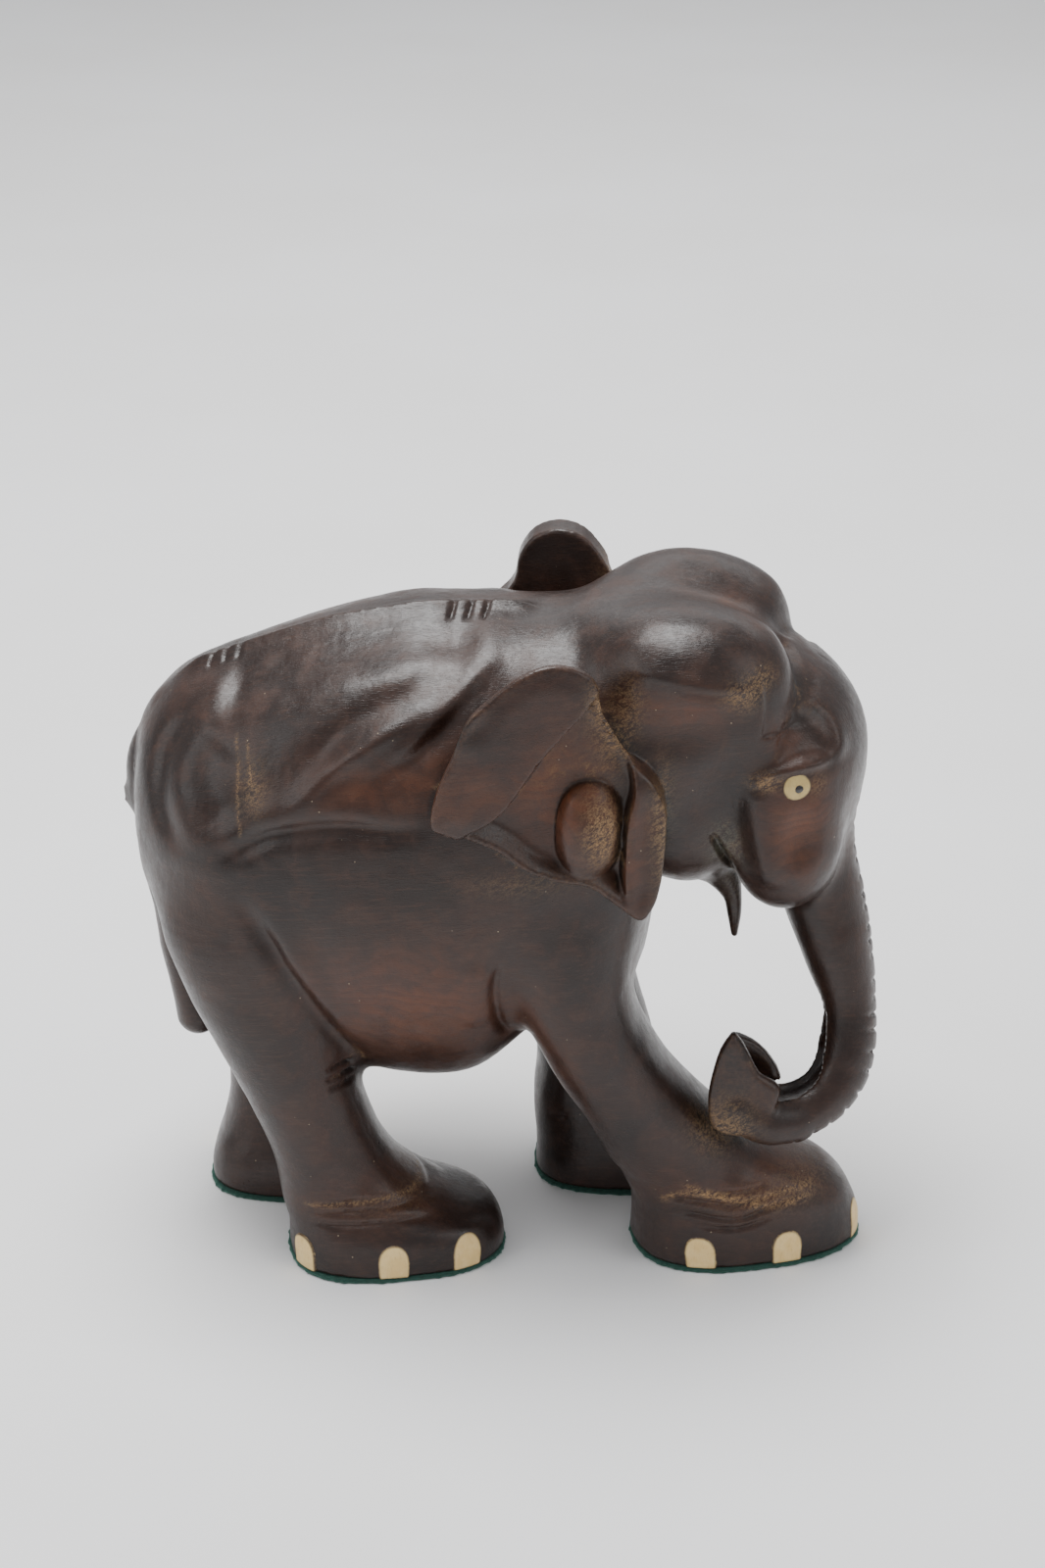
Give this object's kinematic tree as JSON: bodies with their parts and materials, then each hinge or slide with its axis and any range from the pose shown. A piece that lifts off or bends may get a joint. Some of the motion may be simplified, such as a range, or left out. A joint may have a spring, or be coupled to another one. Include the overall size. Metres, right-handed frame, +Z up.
{
  "type": "elephant figurine",
  "caption": "Carved dark hardwood elephant standing mid-stride, trunk curled back to the front leg, with inlaid bone eyes and toenails and felt under the soles.",
  "frame": {"origin": "centre of the overall box, on the plane the felt soles stand on", "axes": "+X towards the trunk, +Y to the elephant's left, +Z up"},
  "size_m": [0.202, 0.1028, 0.1886],
  "materials": {
    "wood": "dark waxed hardwood, carved and rubbed",
    "bone": "cream bone, sanded",
    "eye_bone": "yellowed bone, sanded",
    "black": "black peg",
    "felt": "dark green felt"
  },
  "bodies": {
    "root": {"carved_body": "wood", "right_eye": "eye_bone", "right_pupil": "black", "left_eye": "eye_bone", "left_pupil": "black", "right_front_toenail_1": "bone", "right_front_toenail_2": "bone", "right_front_toenail_3": "bone", "right_rear_toenail_1": "bone", "right_rear_toenail_2": "bone", "right_rear_toenail_3": "bone", "left_front_toenail_1": "bone", "left_front_toenail_2": "bone", "left_front_toenail_3": "bone", "left_rear_toenail_1": "bone", "left_rear_toenail_2": "bone", "left_rear_toenail_3": "bone", "right_front_felt": "felt", "right_rear_felt": "felt", "left_front_felt": "felt", "left_rear_felt": "felt"}
  },
  "joints": []
}
